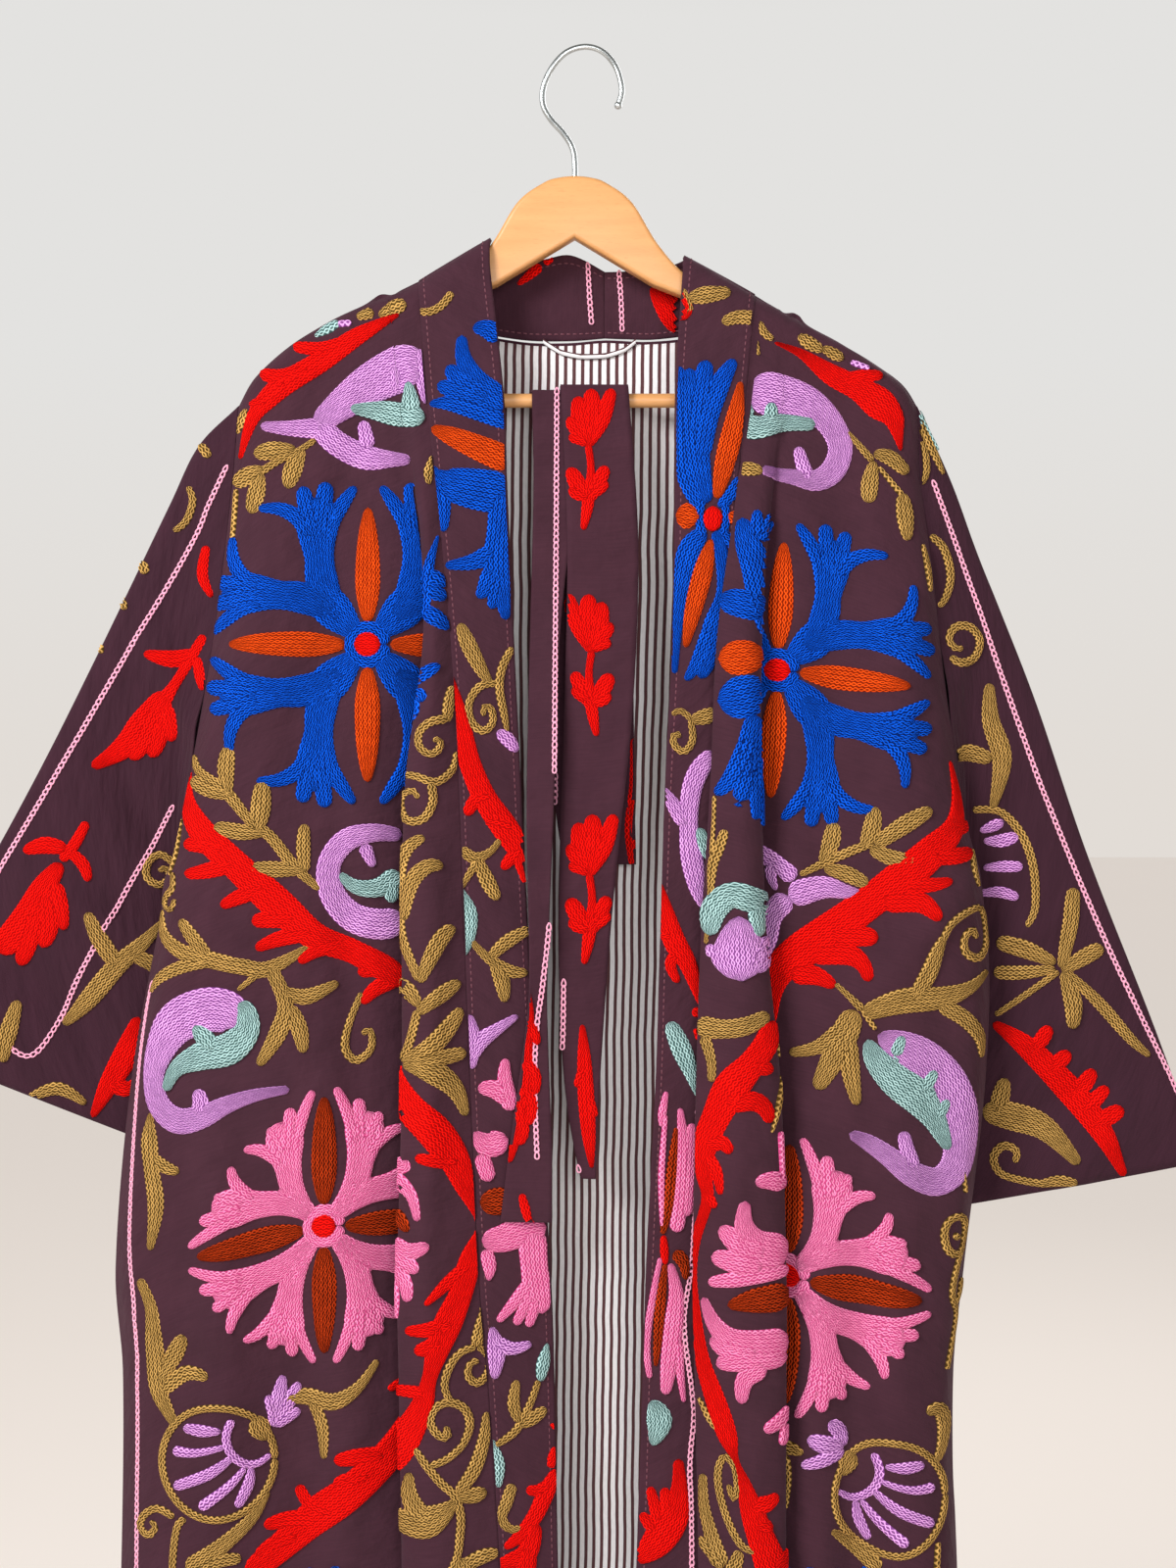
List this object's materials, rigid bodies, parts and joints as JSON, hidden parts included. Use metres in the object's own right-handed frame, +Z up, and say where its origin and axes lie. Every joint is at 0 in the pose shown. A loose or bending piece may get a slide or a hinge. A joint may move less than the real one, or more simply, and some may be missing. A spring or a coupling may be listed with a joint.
{
  "type": "kimono robe on a wooden hanger",
  "caption": "Open-front kimono robe with wide sleeves, long neckband, striped lining and sash, draped on a wooden hanger with a wire hook.",
  "frame": {"origin": "top of the inside of the hanger hook's loop, where the hook bears on whatever holds it", "axes": "+Z up along the hanging robe, -Y towards the robe's front, +X towards the robe's left sleeve, which is on the right seen from the front"},
  "size_m": [0.8988, 0.0943, 1.364],
  "materials": {
    "plum_cotton": "matt plum-brown cotton cloth with coloured chain-stitch embroidery",
    "striped_cotton": "matt cream cotton cloth with narrow maroon stripes",
    "beech": "smooth clear-varnished satin",
    "zinc_wire": "bright plated wire"
  },
  "bodies": {
    "root": {"back": "plum_cotton", "front_left": "plum_cotton", "front_right": "plum_cotton", "sleeve_left": "plum_cotton", "sleeve_right": "plum_cotton", "neckband_left": "plum_cotton", "neckband_right": "plum_cotton", "lining_back": "striped_cotton", "hang_loop": "striped_cotton", "belt": "plum_cotton", "hanger_wood": "beech", "hanger_bar": "beech", "hanger_hook": "zinc_wire"}
  },
  "joints": []
}
